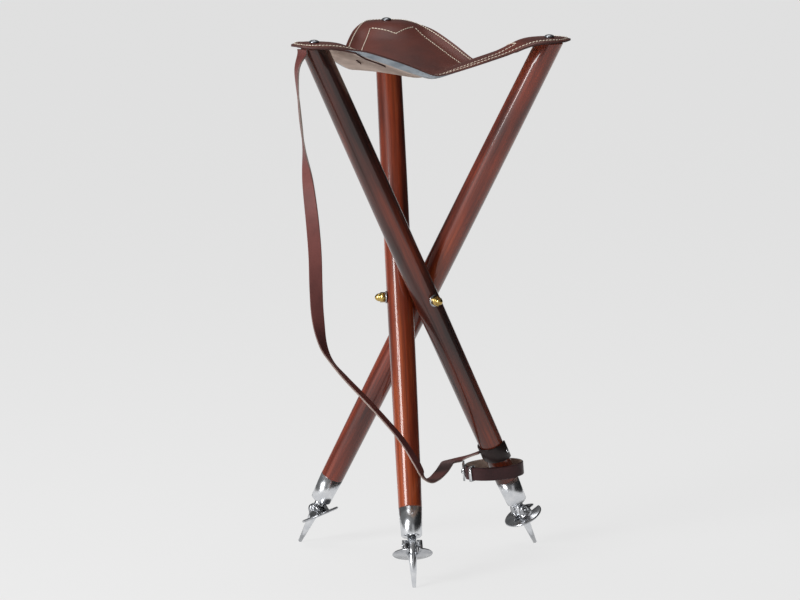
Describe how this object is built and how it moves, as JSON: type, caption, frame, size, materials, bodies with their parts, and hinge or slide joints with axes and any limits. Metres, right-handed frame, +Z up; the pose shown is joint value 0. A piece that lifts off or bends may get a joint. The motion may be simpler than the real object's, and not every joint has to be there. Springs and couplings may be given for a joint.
{
  "type": "tripod hunting stool",
  "caption": "Folding tripod stool of turned wooden legs crossing at a brass hub, with a leather sling seat, spiked feet with folding mud discs and a carry strap.",
  "frame": {"origin": "on the ground under the middle of the open stool", "axes": "+Z up, +X to the right in the picture, +Y away from the camera"},
  "size_m": [0.3365, 0.3627, 0.6565],
  "materials": {
    "varnished_wood": "glossy dark red varnish",
    "polished_metal": "polished",
    "steel": "bright",
    "brass": "polished",
    "seat_leather": "smooth",
    "suede": "rough",
    "strap_leather": "smooth"
  },
  "bodies": {
    "hub": {"three_way_bolt": "brass", "stud_washer_a": "steel", "acorn_nut_a": "brass", "corner_patch_a": "suede", "stud_washer_b": "steel", "acorn_nut_b": "brass", "corner_patch_b": "suede", "stud_washer_c": "steel", "acorn_nut_c": "brass", "corner_patch_c": "suede", "seat_panel": "seat_leather"},
    "leg_a": {"leg_a": "varnished_wood", "ferrule_a": "polished_metal", "spike_a": "steel", "seat_screw_a": "steel", "belt_tab": "strap_leather", "tab_rivet": "polished_metal", "carry_strap": "strap_leather"},
    "leg_b": {"leg_b": "varnished_wood", "ferrule_b": "polished_metal", "spike_b": "steel", "seat_screw_b": "steel"},
    "leg_c": {"leg_c": "varnished_wood", "ferrule_c": "polished_metal", "spike_c": "steel", "seat_screw_c": "steel"},
    "disc_a": {"mud_disc_a": "polished_metal", "disc_pin_a": "steel"},
    "disc_b": {"mud_disc_b": "polished_metal", "disc_pin_b": "steel"},
    "disc_c": {"mud_disc_c": "polished_metal", "disc_pin_c": "steel"},
    "belt": {"foot_belt": "strap_leather", "belt_tail": "strap_leather", "belt_keeper": "polished_metal", "buckle_frame": "polished_metal"},
    "prong": {"buckle_prong": "polished_metal"}
  },
  "joints": [
    {"name": "leg_a_fold", "type": "hinge", "parent": "hub", "child": "leg_a", "pos_m": [-0.0175, -0.0075, 0.3276], "axis": [-0.585, 0.8111, 0], "range_deg": [0, 23.5], "deforming": ["seat_panel", "corner_patch_a", "corner_patch_b", "corner_patch_c", "carry_strap"]},
    {"name": "leg_b_fold", "type": "hinge", "parent": "hub", "child": "leg_b", "pos_m": [-0.0175, -0.0075, 0.3276], "axis": [0.9949, 0.1011, 0], "range_deg": [0, 23.5]},
    {"name": "leg_c_fold", "type": "hinge", "parent": "hub", "child": "leg_c", "pos_m": [-0.0175, -0.0075, 0.3276], "axis": [-0.4099, -0.9121, 0], "range_deg": [0, 23.5]},
    {"name": "disc_a_swing", "type": "hinge", "parent": "leg_a", "child": "disc_a", "pos_m": [0.11291, 0.06128, 0.04714], "axis": [-0.585, 0.8111, 0], "range_deg": [0, 66]},
    {"name": "disc_b_swing", "type": "hinge", "parent": "leg_b", "child": "disc_b", "pos_m": [-0.02314, -0.15482, 0.04714], "axis": [0.9949, 0.1011, 0], "range_deg": [0, 66]},
    {"name": "disc_c_swing", "type": "hinge", "parent": "leg_c", "child": "disc_c", "pos_m": [-0.14226, 0.07105, 0.04714], "axis": [-0.4099, -0.9121, 0], "range_deg": [-52, 14]},
    {"name": "belt_turn", "type": "hinge", "parent": "leg_a", "child": "belt", "pos_m": [0.08969, 0.04453, 0.10214], "axis": [-0.3745, -0.2701, 0.887], "range_deg": [0, 117.5]},
    {"name": "prong_swing", "type": "hinge", "parent": "belt", "child": "prong", "pos_m": [0.04172, 0.0384, 0.09804], "axis": [-0.0777, -0.0561, 0.9954], "range_deg": [0, 110]}
  ],
  "couplings": [
    {"joint": "leg_b_fold", "follows": "leg_a_fold", "ratio": 1},
    {"joint": "leg_c_fold", "follows": "leg_a_fold", "ratio": 1},
    {"joint": "belt_turn", "follows": "leg_a_fold", "ratio": 5}
  ]
}
